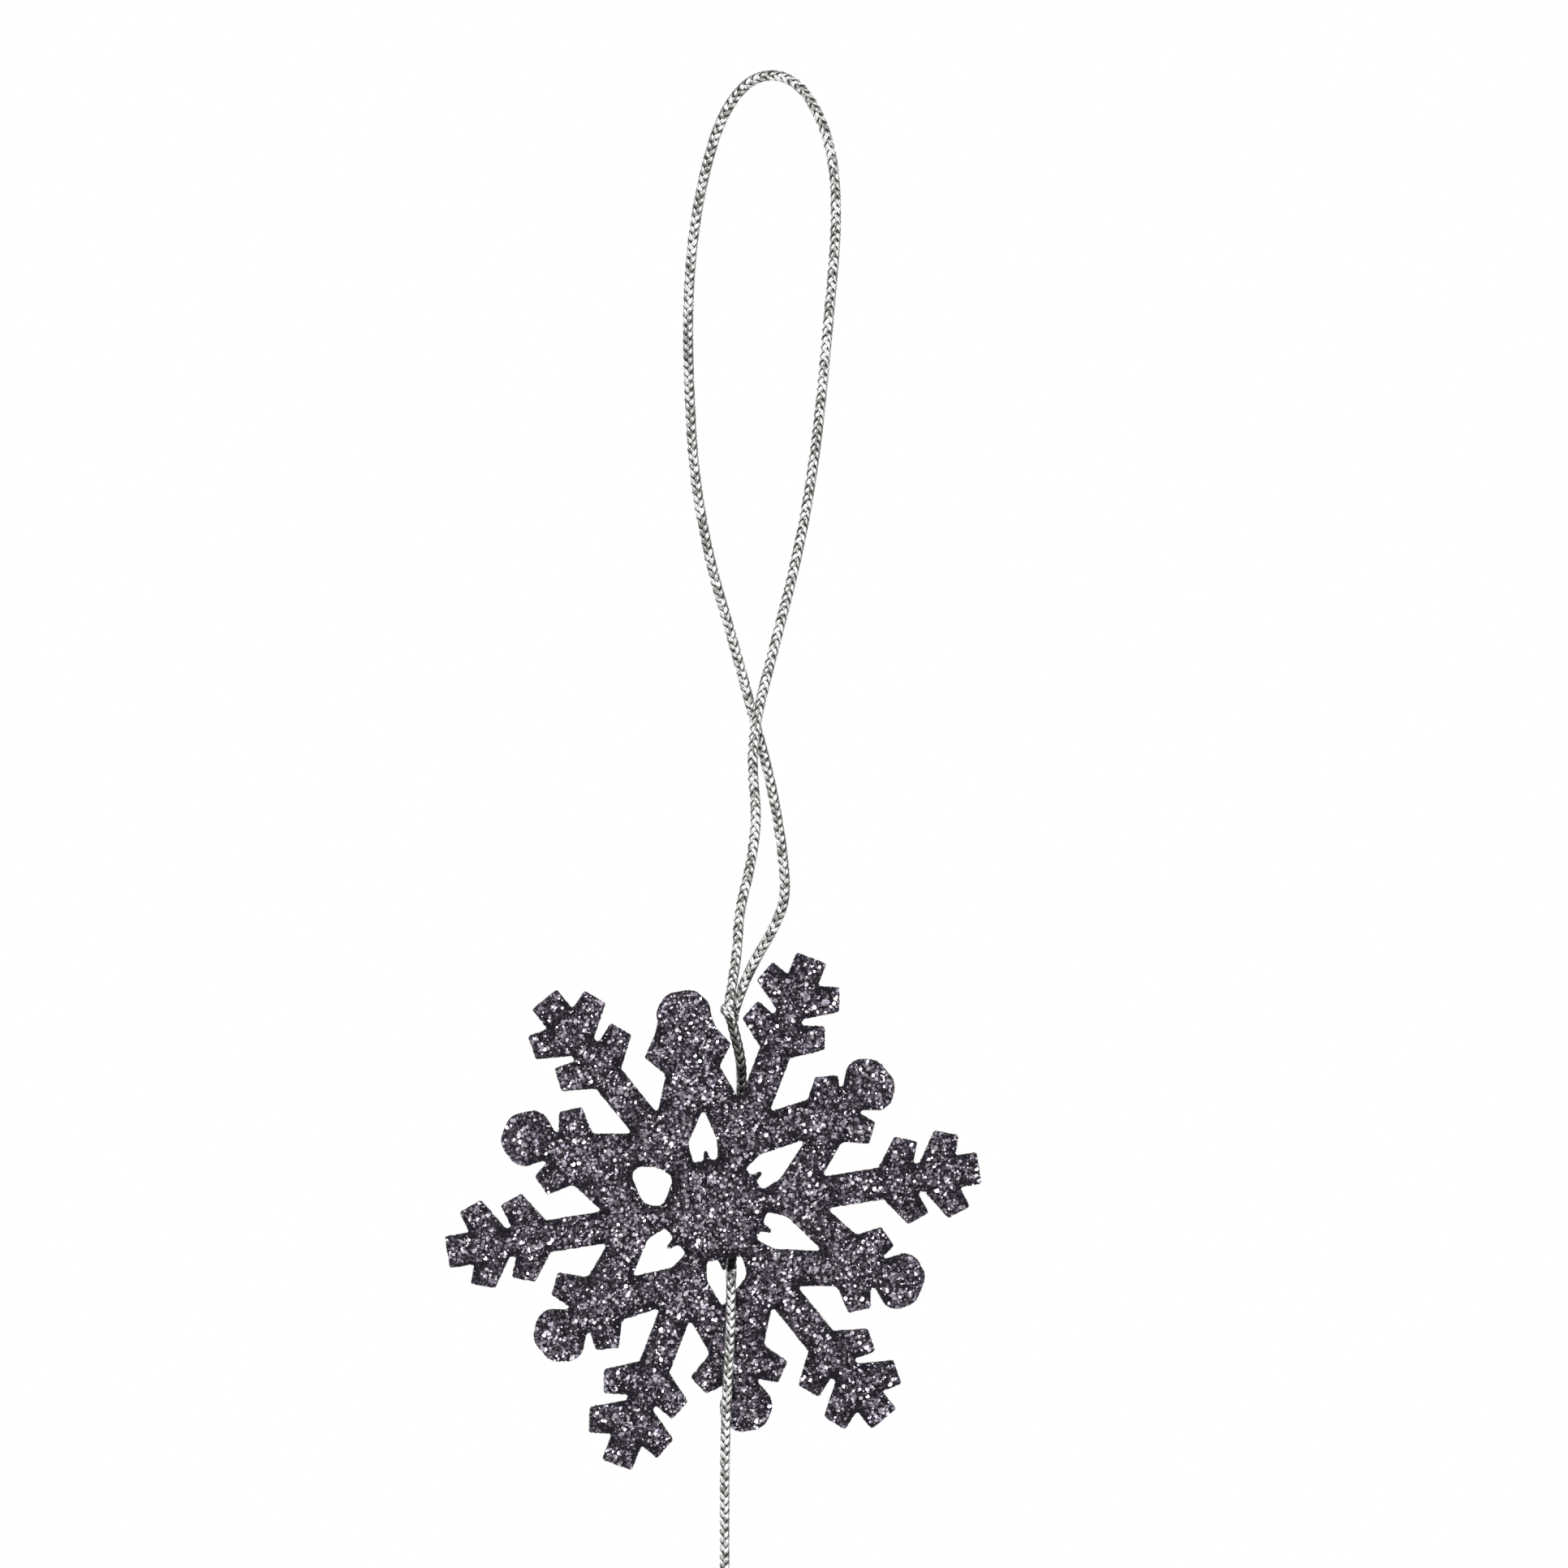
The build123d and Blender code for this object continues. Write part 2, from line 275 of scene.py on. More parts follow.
def ring_faces(rings, corners, start):
    """Quads between neighbouring rings and a cap at each end, as vertex numbers."""
    faces = []
    for ring in range(rings - 1):
        here = start + ring * corners
        there = here + corners
        for corner in range(corners):
            after = (corner + 1) % corners
            faces.append((here + corner, here + after, there + after, there + corner))
    faces.append(tuple(start + corner for corner in reversed(range(corners))))
    last = start + (rings - 1) * corners
    faces.append(tuple(last + corner for corner in range(corners)))
    return faces


print(f"{YARNS} yarns, stitches {LAY / 4 / MM:.1f} mm apart")

# %% Braid the yarns
def braid(name, line, diameter=PROUD * CORD_DIAMETER):
    """A braided cord along a line, as one mesh."""
    first, second = side_vectors(line)
    travelled = STEP * np.arange(len(line))
    swing = 2 * math.pi * travelled / LAY
    front = math.atan2(-second[0][1], -first[0][1])
    rings = []
    for yarn in range(YARNS):
        way = 1 if yarn % 2 == 0 else -1
        angle = way * swing + 2 * math.pi * (yarn // 2) / (YARNS // 2)
        weave = -way * np.sin(2 * (angle - front))
        outward = np.cos(angle)[:, None] * first + np.sin(angle)[:, None] * second
        reach = diameter * (YARN_REACH + YARN_RISE * weave)
        centres = line + reach[:, None] * outward
        along = np.gradient(centres, axis=0)
        wide = np.cross(along, outward)
        wide /= np.linalg.norm(wide, axis=1)[:, None]
        high = np.cross(wide, along)
        high /= np.linalg.norm(high, axis=1)[:, None]
        half_width, half_height = YARN_HALF_WIDTH * diameter, YARN_HALF_HEIGHT * diameter
        rings.append(swept(centres, wide, high, half_width, half_height, YARN_CORNERS))
    core = slice(None, None, CORE_EVERY)
    core_radius = CORE_RADIUS * diameter
    rings.append(swept(line[core], first[core], second[core], core_radius, core_radius, 8))
    vertices, faces = [], []
    distance, yarn_place = [], []
    for number, ring in enumerate(rings):
        count, corners = ring.shape[:2]
        faces += ring_faces(count, corners, sum(len(part) for part in vertices))
        vertices.append(ring.reshape(-1, 3))
        spine = line if number < YARNS else line[core]
        out = np.linalg.norm(ring - spine[:, None, :], axis=2)
        distance.append((out / (diameter / 2)).ravel())
        reach = travelled if number < YARNS else travelled[core]
        yarn_place.append(np.repeat(reach / MM + 17.3 * number, corners))
    mesh = bpy.data.meshes.new(name)
    mesh.from_pydata(np.concatenate(vertices).tolist(), [], faces)
    for title, values in (("rise", distance), ("travel", yarn_place)):
        layer = mesh.attributes.new(title, "FLOAT", "POINT")
        layer.data.foreach_set("value", np.concatenate(values).astype(np.float32))
    mesh.polygons.foreach_set("use_smooth", [True] * len(mesh.polygons))
    mesh.validate()
    cord = bpy.data.objects.new(name, mesh)
    bpy.context.collection.objects.link(cord)
    triangles = sum(len(face.vertices) - 2 for face in mesh.polygons)
    print(f"{name}: {triangles} triangles")
    return cord


loop_braid = braid("loop_braid", loop_line)
neck_braid = braid("neck_braid", neck_line)
tail_braid = braid("tail_braid", tail_line, CORD_DIAMETER)

# %% [markdown]
# ## The two knots
#
# Each knot is the cord itself, pulled tight: a short slanted coil round the strands,
# with both ends tucked in. The cord is squeezed where it is knotted, so the coil is
# braided a little thinner.

# %% Coil the cord into knots
def knot_route(centre, radius, height, turns, slant):
    """A slanted coil round a centre, whose ends tuck in to the middle."""
    places = []
    steps = round(turns * 6)
    for step in range(steps + 1):
        share = step / steps
        angle = 2 * math.pi * turns * share + math.pi / 2
        reach = radius if 0 < step < steps else 0.3 * radius
        x = reach * math.cos(angle)
        y = reach * math.sin(angle)
        z = height * (0.5 - share) + slant * x
        places.append(tuple(Vector(centre) + Vector((x, y, z))))
    return places


def knot(name, centre, radius, height, turns, slant, diameter):
    """A pulled-tight coil of squeezed cord."""
    route = knot_route(Vector(centre) * MM, radius * MM, height * MM, turns, slant)
    return braid(name, cord_line(f"{name}_line", route), diameter * MM)


loop_knot = knot("loop_knot_coil", (-4.2, 0.0, -88.4), 0.62, 0.75, 2.2, -0.55, 0.72)
end_knot = knot("end_knot_coil", (-4.65, -1.95, -144.6), 0.7, 1.3, 2.4, 0.4, 0.9)

# %% [markdown]
# ## Adding up sockets
#
# A material is easier to read as arithmetic than as a list of nodes and links. This
# small class holds one output socket. Sums, differences and products of it add Math
# nodes, and `node` adds any other kind, with its settings set before its inputs.

# %% A class for sockets
class Socket:
    """One output socket of a material. Arithmetic on it adds Math nodes."""

    def __init__(self, output):
        self.output = output

    def node(self, kind, settings=None, inputs=None, output=0):
        tree = self.output.id_data
        node = tree.nodes.new(kind)
        for name, setting in (settings or {}).items():
            if name == "stops":
                for number, (place, colour) in enumerate(setting):
                    stops = node.color_ramp.elements
                    stop = stops[number] if number < 2 else stops.new(place)
                    stop.position = place
                    stop.color = (*colour, 1)
            else:
                setattr(node, name, setting)
        for name, value in (inputs or {}).items():
            if isinstance(value, Socket):
                tree.links.new(value.output, node.inputs[name])
            else:
                node.inputs[name].default_value = value
        return Socket(node.outputs[output])

    def math(self, operation, first, second):
        return self.node("ShaderNodeMath", {"operation": operation}, {0: first, 1: second})

    def __add__(self, other):
        return self.math("ADD", self, other)

    def __sub__(self, other):
        return self.math("SUBTRACT", self, other)

    def __rsub__(self, other):
        return self.math("SUBTRACT", other, self)

    def __mul__(self, other):
        return self.math("MULTIPLY", self, other)

    __radd__ = __add__
    __rmul__ = __mul__

    def ramp(self, *stops):
        """A colour for each value, from (value, colour) pairs."""
        return self.node("ShaderNodeValToRGB", {"stops": stops}, {"Fac": self})

    def between(self, low, high):
        """0 up to low, 1 from high on, and a smooth rise from one to the other."""
        return self.node(
            "ShaderNodeMapRange",
            {"interpolation_type": "SMOOTHSTEP"},
            {"Value": self, "From Min": low, "From Max": high},
        )

    def mix(self, first, second):
        """The first colour where this is 0 and the second where it is 1."""
        return self.node(
            "ShaderNodeMix", {"data_type": "RGBA"}, {0: self, 6: first, 7: second}, 2
        )

    def noise(self, scale, detail=2.0, output=0):
        inputs = {"Vector": self, "Scale": scale, "Detail": detail}
        return self.node("ShaderNodeTexNoise", None, inputs, output)

    def stretched(self, x, y, z):
        """These coordinates with each axis multiplied."""
        return self.node("ShaderNodeMapping", None, {"Vector": self, "Scale": (x, y, z)})


def new_finish(name):
    """A material's shader, and its object coordinates to build patterns on."""
    material = bpy.data.materials.new(name)
    material.use_nodes = True
    tree = material.node_tree
    shader = tree.nodes["Principled BSDF"]
    place = Socket(tree.nodes.new("ShaderNodeTexCoord").outputs["Object"])
    return material, shader, place


def wear(shader, inputs):
    """Sets a shader's inputs, each to a number, a colour or another node's output."""
    for name, value in inputs.items():
        if isinstance(value, Socket):
            value.output.id_data.links.new(value.output, shader.inputs[name])
        else:
            shader.inputs[name].default_value = value


# %% [markdown]
# ## Silver yarn
#
# Metallic yarn is a bundle of narrow foil strips, with fine streaks along the yarn. Its
# colour holds painted shade, which makes it almost black down between the stitches and
# on the core and bright only on top of each stitch, and patches of painted highlight.
# The braid stored two numbers at each vertex for this: how high it stands on the cord,
# and how far along the cord it is.

# %% Make the yarn's material
def silver_yarn(name, brightness):
    """Bright yarn, or yarn darkened with painted shade where the brightness is less."""
    material, shader, place = new_finish(name)
    rise = place.node("ShaderNodeAttribute", {"attribute_name": "rise"}, None, "Fac")
    travel = place.node("ShaderNodeAttribute", {"attribute_name": "travel"}, None, "Fac")
    where = place.node("ShaderNodeCombineXYZ", None, {"X": travel, "Y": rise * 9.0})
    strips = where.noise(4.0, 3.0)
    specks = place.noise(5200.0, 2.0)
    # painted shade: the colour goes dark wherever the yarn lies low, between the stitches
    painted_stitch_shade = rise.between(0.72, 1.04)
    # painted highlight: patches of brighter colour stand in for glints
    painted_glint = 0.7 + 0.75 * place.noise(1300.0, 2.0).between(0.42, 0.62)
    tone = brightness * painted_stitch_shade * painted_glint * (strips * 0.7 + specks * 0.5)
    colour = tone.ramp(
        (0.0, (0.018, 0.018, 0.017)),
        (0.2, (0.1, 0.102, 0.095)),
        (0.45, (0.34, 0.345, 0.325)),
        (0.68, (0.82, 0.83, 0.82)),
    )
    bump = place.node(
        "ShaderNodeBump", None, {"Strength": 0.5, "Distance": 0.00005, "Height": strips}
    )
    wear(
        shader,
        {
            "Base Color": colour,
            "Metallic": 0.85,
            "Roughness": 0.5 - 0.25 * strips,
            "Normal": bump,
        },
    )
    return material


bright_yarn = silver_yarn("silver_yarn", 1.14)
# painted shade: the neck's yarn is made darker because the neck hangs in the snowflake's
# shadow
neck_yarn_painted_shade = silver_yarn("neck_yarn_painted_shade", 0.55)
for cord in (loop_braid, tail_braid, end_knot, loop_knot):
    cord.data.materials.append(bright_yarn)
neck_braid.data.materials.append(neck_yarn_painted_shade)

# %% [markdown]
# ## The film of glitter
#
# The glitter is shaken onto wet glue, so it forms a thin film that laps a little way
# down the cut edge and makes the outline slightly ragged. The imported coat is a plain
# sheet with the right outline. A copy of it is merged, its rim is cut into short pieces
# and roughened, its back is pushed down into the board so that the film laps over the
# edge, and its front rim is rounded with a bevel.

# %% Copy a coat and roughen its rim
RIM_SPACING = 0.35 * MM
LAP = 0.4 * MM  # how far the film reaches down the cut edge
LAP_SWAY = 0.12 * MM
OVERHANG = 0.03 * MM
OVERHANG_SWAY = 0.02 * MM
RIM_ROUNDING = 0.09 * MM


def only(piece):
    """Makes one piece the only selected and the active one."""
    bpy.ops.object.select_all(action="DESELECT")
    piece.hide_set(False)
    piece.select_set(True)
    bpy.context.view_layer.objects.active = piece


def own_copy(name, node):
    """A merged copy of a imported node's mesh, as a piece of its own."""
    mesh = frame["nodes"][node].data.copy()
    mesh.name = name
    mesh.materials.clear()
    copy = bpy.data.objects.new(name, mesh)
    bpy.context.collection.objects.link(copy)
    only(copy)
    bpy.ops.object.mode_set(mode="EDIT")
    bpy.ops.mesh.select_all(action="SELECT")
    bpy.ops.mesh.remove_doubles(threshold=1e-7)
    bpy.ops.mesh.dissolve_limited(angle_limit=math.radians(2))
    bpy.ops.object.mode_set(mode="OBJECT")
    return copy


def choose(piece, kind, test):
    """Selects the vertices, edges or faces that pass a test, and nothing else."""
    mesh = piece.data
    for part in (mesh.vertices, mesh.edges, mesh.polygons):
        part.foreach_set("select", [False] * len(part))
    count = 0
    for item in getattr(mesh, kind):
        if test(item):
            item.select = True
            count += 1
    return count


def glitter_film(name, node, facing):
    """The film on one side. Facing is -1 for the front and 1 for the back."""
    film = own_copy(name, node)
    level = facing * FILM_FACE
    bpy.context.tool_settings.mesh_select_mode = (False, True, False)

    def long_rim(edge):
        ends = [film.data.vertices[number].co for number in edge.vertices]
        flat = abs(ends[0].y - ends[1].y) < 1e-6
        return flat and rim[edge.index] and (ends[0] - ends[1]).length > RIM_SPACING

    for _ in range(6):
        faces_of = {}
        for face in film.data.polygons:
            for key in face.edge_keys:
                faces_of.setdefault(key, []).append(abs(face.normal.y) > 0.5)
        rim = [len(set(faces_of.get(edge.key, [True]))) == 2 for edge in film.data.edges]
        if choose(film, "edges", long_rim) == 0:
            break
        bpy.ops.object.mode_set(mode="EDIT")
        bpy.ops.mesh.subdivide(number_cuts=1)
        bpy.ops.object.mode_set(mode="OBJECT")

    # the film stands a little proud of the cut edge and laps down over it
    outwards = rim_directions(film)
    draw = np.random.default_rng(5 if facing < 0 else 6)
    for vertex in film.data.vertices:
        sway = OVERHANG + OVERHANG_SWAY * draw.standard_normal()
        vertex.co += outwards[vertex.index] * sway
        if abs(vertex.co.y - level) > 0.1 * MM:
            vertex.co.y -= facing * (LAP + LAP_SWAY * draw.standard_normal())
    film.data.update()

    only(film)
    bevel = film.modifiers.new("rounded_rim", "BEVEL")
    bevel.width = RIM_ROUNDING
    bevel.segments = 2
    bevel.limit_method = "ANGLE"
    bevel.angle_limit = math.radians(60)
    bpy.ops.object.modifier_apply(modifier=bevel.name)
    bpy.ops.object.modifier_add(type="TRIANGULATE")
    bpy.ops.object.modifier_apply(modifier=film.modifiers[0].name)
    bpy.ops.object.shade_smooth_by_angle(angle=math.radians(30))
    print(f"{name}: {len(film.data.polygons)} triangles")
    return film


def rim_directions(film):
    """For each vertex of the rim, the way out of the snowflake, square to its edge."""
    total = [Vector((0, 0, 0)) for _ in film.data.vertices]
    for face in film.data.polygons:
        if abs(face.normal.y) < 0.5:
            for number in face.vertices:
                total[number] += face.normal * face.area
    return [way.normalized() if way.length > 0 else way for way in total]


FILM_FACE = -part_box("front_glitter_coat")[0].y
front_film = glitter_film("front_glitter_film", "front_glitter_coat", -1)
back_film = glitter_film("back_glitter_film", "back_glitter_coat", 1)

# %% [markdown]
# ## Loose flakes
#
# Real glitter is thousands of tiny hexagons of coloured foil that lie at every angle,
# and each one flashes when it faces a light. So the flakes are real geometry, scattered
# with a seeded random generator over the films: a flat six-sided top on a shallow point,
# which is closed and costs ten triangles. They differ in size, tilt and shade.
#
# One flake of foil is one flat colour. So the variety comes from five foils, dealt out
# at random, and each foil is a plain metallic finish. Towards the hollow corners between
# arms and barbs more and more of the flakes are dark ones, so the glitter is darker there.

# %% Mix the foils
FOILS = (  # name, colour, roughness, share of the flakes
    ("foil_deep_plum", (0.02, 0.016, 0.024), 0.34, 0.34),
    ("foil_plum_grey", (0.095, 0.08, 0.106), 0.3, 0.26),
    ("foil_pewter", (0.24, 0.21, 0.26), 0.26, 0.19),
    ("foil_lilac", (0.55, 0.49, 0.6), 0.22, 0.13),
    ("foil_silver_lilac", (0.95, 0.91, 0.98), 0.2, 0.08),
)
foils = []
for name, colour, roughness, share in FOILS:
    foil, shader, _ = new_finish(name)
    wear(
        shader,
        {"Base Color": (*colour, 1), "Metallic": 0.9, "Roughness": roughness},
    )
    foils.append(foil)

# %% Find the rim and its hollow corners
RIM_STEP = 0.12 * MM
CORNER_REACH = 0.7 * MM
HOLLOW = -0.12  # how far a hollow corner's ways out face each other
BOARD_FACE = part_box("board_core")[1].y


def rim_points(film, facing):
    """Points close together along the film's rim, and the way out of the board at each."""
    mesh = film.data
    places, ways = [], []
    for face in mesh.polygons:
        if abs(face.normal.y) > 0.3 or face.center.y * facing < BOARD_FACE - 0.1 * MM:
            continue
        corners = [mesh.vertices[number].co for number in face.vertices]
        for start, end in zip(corners, corners[1:] + corners[:1]):
            steps = max(1, round((end - start).length / RIM_STEP))
            for step in range(steps):
                place = start.lerp(end, step / steps)
                places.append((place.x, 0, place.z))
                ways.append((face.normal.x, 0, face.normal.z))
    return np.array(places), np.array(ways)


def tree_of(places):
    """The places in a tree that finds the nearest ones fast."""
    tree = kdtree.KDTree(len(places))
    for number, place in enumerate(places):
        tree.insert(place, number)
    tree.balance()
    return tree


def hollow_corners(places, ways):
    """Which rim points lie in hollow corners: their ways out face."""
    tree = tree_of(places)
    hollow = []
    for number in range(0, len(places), 3):
        near = [other for _, other, _ in tree.find_range(places[number], CORNER_REACH)]
        apart = places[near] - places[number]
        opening = (apart * (ways[near] - ways[number])).sum(axis=1).mean() / MM
        if opening < HOLLOW:
            hollow.append(number)
    return hollow


rims = {}
for film, facing in ((front_film, -1), (back_film, 1)):
    rim, ways = rim_points(film, facing)
    hollow = hollow_corners(rim, ways)
    rims[film.name] = tree_of(rim), tree_of(rim[hollow])
    print(f"{film.name}: {len(rim)} rim points, {len(hollow)} in hollow corners")

# %% Scatter the flakes
FLAKE_CORNERS = 6
FLAKE_RADIUS = 0.12  # in millimetres, like the limits below
SMALLEST, LARGEST = 0.06, 0.22
ON_THE_EDGE = 0.09  # the largest flake on the cut edge
BRIGHT_GROWTH = 1.25  # bright flakes are the large ones
HOLLOW_REACH = 0.9  # in millimetres


def scatter(name, film, facing, count, seed):
    """Flakes lying on a film's front and on the part of the cut edge that it covers."""
    rim_tree, hollow_tree = rims[film.name]
    draw = np.random.default_rng(seed)
    mesh = film.data
    corners = np.array([mesh.vertices[n].co for f in mesh.polygons for n in f.vertices])
    corners = corners.reshape(-1, 3, 3)
    normals = np.array([face.normal for face in mesh.polygons])
    areas = np.array([face.area for face in mesh.polygons])
    areas[normals[:, 1] * facing < -0.5] = 0  # nothing on the side that is glued down
    side = np.abs(normals[:, 1]) < 0.5
    areas[side] *= 0.7
    chosen = draw.choice(len(areas), count, p=areas / areas.sum())
    a, b = np.sqrt(draw.random(count)), draw.random(count)
    weights = np.stack([1 - a, a * (1 - b), a * b], axis=1)
    places = (corners[chosen] * weights[:, :, None]).sum(axis=1)
    flat = places * (1, 0, 1)
    to_rim = np.array([rim_tree.find(place)[2] for place in flat]) / MM
    to_hollow = np.array([hollow_tree.find(place)[2] for place in flat]) / MM
    near_hollow = np.clip(1.25 - to_hollow / HOLLOW_REACH, 0, 1)
    darkened = draw.random(count) < 1.1 * near_hollow

    tilt = np.abs(draw.normal(0, 0.3, count)).clip(0, 0.95)
    tilt[to_rim < 0.12] *= 0.5
    spin = draw.random(count) * 2 * math.pi
    up = normals[chosen]
    level = np.cross(up, (0.13, 0.22, 0.97))
    level /= np.linalg.norm(level, axis=1)[:, None]
    other = np.cross(up, level)
    lean = np.cos(spin)[:, None] * level + np.sin(spin)[:, None] * other
    top = np.cos(tilt)[:, None] * up + np.sin(tilt)[:, None] * lean
    first = np.cross(top, draw.standard_normal((count, 3)))
    first /= np.linalg.norm(first, axis=1)[:, None]
    second = np.cross(top, first)

    shades = draw.choice(len(FOILS), count, p=[foil[3] for foil in FOILS])
    shades[darkened] = 0
    growth = np.where(shades > 2, BRIGHT_GROWTH, 1)
    radius = draw.lognormal(math.log(FLAKE_RADIUS), 0.3, count) * growth
    on_top = np.abs(up[:, 1]) > 0.5
    room = np.where(on_top, to_rim + 0.03, ON_THE_EDGE).clip(0.05, LARGEST)
    radius = radius.clip(SMALLEST, room) * MM
    height = 0.01 * MM + 0.35 * radius * np.sin(tilt) + 0.03 * MM * draw.random(count)
    centre = places + up * height[:, None]
    turn = 2 * math.pi * np.arange(FLAKE_CORNERS) / FLAKE_CORNERS
    ring = centre[:, None, :] + radius[:, None, None] * (
        np.cos(turn)[None, :, None] * first[:, None, :]
        + np.sin(turn)[None, :, None] * second[:, None, :]
    )
    point = centre - top * (0.25 * radius)[:, None]
    vertices = np.concatenate([ring, point[:, None, :]], axis=1).reshape(-1, 3)

    faces = []
    for start in range(0, count * (FLAKE_CORNERS + 1), FLAKE_CORNERS + 1):
        faces.append(tuple(range(start, start + FLAKE_CORNERS)))
        for corner in range(FLAKE_CORNERS):
            after = (corner + 1) % FLAKE_CORNERS
            faces.append((start + after, start + corner, start + FLAKE_CORNERS))
    mesh = bpy.data.meshes.new(name)
    mesh.from_pydata(vertices.tolist(), [], faces)
    mesh.polygons.foreach_set("material_index", np.repeat(shades, FLAKE_CORNERS + 1))
    for foil in foils:
        mesh.materials.append(foil)
    flakes = bpy.data.objects.new(name, mesh)
    bpy.context.collection.objects.link(flakes)
    print(f"{name}: {count} flakes, {10 * count} triangles")
    return flakes


flakes = [
    scatter("front_flakes_a", front_film, -1, 15000, 11),
    scatter("front_flakes_b", front_film, -1, 15000, 12),
    scatter("back_flakes", back_film, 1, 17000, 13),
]

# %% [markdown]
# ## The film's own finish
#
# Between the loose flakes the film shows glue packed with smaller flakes. Small Voronoi
# cells stand for them: each cell has a random value for its shade and a random direction
# for its facet. Bare glue shows between them and in soft dark patches.

# %% Make the film's material
FLAKE_SCALE = 1 / (0.17 * MM)


def glitter_glue():
    """Glue full of small facets."""
    material, shader, place = new_finish("glitter_glue")
    cell = {"Vector": place, "Scale": FLAKE_SCALE}
    random_colour = place.node("ShaderNodeTexVoronoi", None, cell, "Color")
    edge = place.node("ShaderNodeTexVoronoi", None, cell, "Distance")
    parts = random_colour.node("ShaderNodeSeparateColor", None, {"Color": random_colour})
    bare = (0.006, 0.005, 0.007, 1)
    shade = parts.ramp(
        (0.0, (0.004, 0.003, 0.005)),
        (0.5, (0.02, 0.016, 0.025)),
        (0.72, (0.09, 0.075, 0.1)),
        (0.88, (0.3, 0.26, 0.34)),
        (1.0, (0.8, 0.75, 0.85)),
    )
    glue = edge.between(0.42, 0.62)
    patches = place.noise(420.0, 3.0)
    colour = (0.35 * patches.between(0.5, 0.75)).mix(glue.mix(shade, bare), bare)
    tilt = place.node(
        "ShaderNodeVectorMath",
        {"operation": "MULTIPLY_ADD"},
        {0: random_colour, 1: (0.9, 0.9, 0.9), 2: (-0.45, -0.45, -0.45)},
    )
    facing = Socket(shader.id_data.nodes.new("ShaderNodeNewGeometry").outputs["Normal"])
    leaning = place.node(
        "ShaderNodeVectorMath", {"operation": "ADD"}, {0: facing, 1: tilt}
    )
    facet = place.node(
        "ShaderNodeVectorMath", {"operation": "NORMALIZE"}, {0: leaning}
    )
    wear(
        shader,
        {
            "Base Color": colour,
            "Metallic": 0.8 - 0.6 * glue,
            "Roughness": 0.32 + 0.2 * glue,
            "Normal": facet,
            "Coat Weight": 0.06,
            "Coat Roughness": 0.2,
            "Specular IOR Level": 0.25,
        },
    )
    return material


film_finish = glitter_glue()
for film in (front_film, back_film):
    film.data.materials.append(film_finish)

# %% [markdown]
# ## The board
#
# The board is pressed from wood fibre and is coloured dark, so that no pale edge shows.
# Its cut edge has fine layers that run parallel to the faces and fibres that catch the
# light. The solid's shape is right as it is, so it only gets a finish. Specks of glitter
# stick to the edge.

# %% Make the board's material
def pressed_board():
    """Dark layered fibre board with a few specks of glitter."""
    material, shader, place = new_finish("pressed_board")
    layers = place.stretched(500.0, 5200.0, 500.0).noise(1.0, 4.0)
    fibres = place.stretched(2400.0, 9000.0, 2400.0).noise(1.0, 3.0)
    tone = 0.6 * layers + 0.4 * fibres
    board = tone.ramp(
        (0.3, (0.012, 0.01, 0.011)),
        (0.5, (0.035, 0.029, 0.031)),
        (0.68, (0.09, 0.075, 0.075)),
    )
    specks = place.node(
        "ShaderNodeTexVoronoi", None, {"Vector": place, "Scale": FLAKE_SCALE}, "Distance"
    )
    stray = place.noise(1500.0, 2.0).between(0.6, 0.66) * (1 - specks.between(0.2, 0.35))
    colour = stray.mix(board, (0.3, 0.27, 0.33, 1))
    bump = place.node(
        "ShaderNodeBump", None, {"Strength": 0.6, "Distance": 0.00008, "Height": fibres}
    )
    wear(shader, {"Base Color": colour, "Roughness": 0.86 - 0.3 * stray, "Normal": bump})
    return material


def refinish(node, material):
    """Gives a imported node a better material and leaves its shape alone."""
    piece = frame["nodes"][node]
    if not piece.material_slots:
        piece.data.materials.append(material)
    for slot in piece.material_slots:
        slot.material = material


refinish("board_core", pressed_board())

# %% [markdown]
# ## The dab of glue
#
# A blob of hot glue holds the cord to the board. It spreads into a low, lumpy dome with
# a soft foot, cloudy and slightly see-through. It starts as a sphere, is flattened in
# edit mode, cut off at the board, made uneven by slow and quick waves round it, and
# subdivided once. The cut's threshold is left at 0.1 mm, which takes in two rows of
# points. So the base, which lies hidden against the board, is tangled and not closed.

# %% Shape the glue
glue_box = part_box("glue_dab")
glue_size = glue_box[1] - glue_box[0]
box_low, box_high = glue_box
glue_foot = Vector(
    ((box_low.x + box_high.x) / 2, box_low.y, (box_low.z + box_high.z) / 2)
)

bpy.ops.object.select_all(action="DESELECT")
bpy.ops.mesh.primitive_uv_sphere_add(
    segments=48, ring_count=32, radius=1, location=(0, 0, 0)
)
glue = bpy.context.object
glue.name = "glue_blob"
bpy.ops.object.mode_set(mode="EDIT")
bpy.ops.mesh.select_all(action="SELECT")
bpy.ops.transform.resize(value=(glue_size.x / 2, glue_size.y * 0.98, glue_size.z / 2))
bpy.ops.transform.translate(value=glue_foot)
bpy.ops.mesh.bisect(
    plane_co=glue_foot - Vector((0, 0.05 * MM, 0)),
    plane_no=(0, -1, 0),
    use_fill=True,
    clear_outer=True,
)
bpy.ops.object.mode_set(mode="OBJECT")
for vertex in glue.data.vertices:
    high = (vertex.co.y - glue_foot.y) / glue_size.y
    turn = math.atan2(vertex.co.z - glue_foot.z, vertex.co.x - glue_foot.x)
    lump = 0.07 * math.sin(2 * turn + 0.6) + 0.045 * math.sin(5 * turn + 2) * (1 - high)
    foot = 0.1 * max(0, 1 - high * 4) ** 2
    pull = 1 - 0.09 + lump * 0.6 + foot * 0.5
    vertex.co.x = glue_foot.x + (vertex.co.x - glue_foot.x) * pull
    vertex.co.z = glue_foot.z + (vertex.co.z - glue_foot.z) * pull
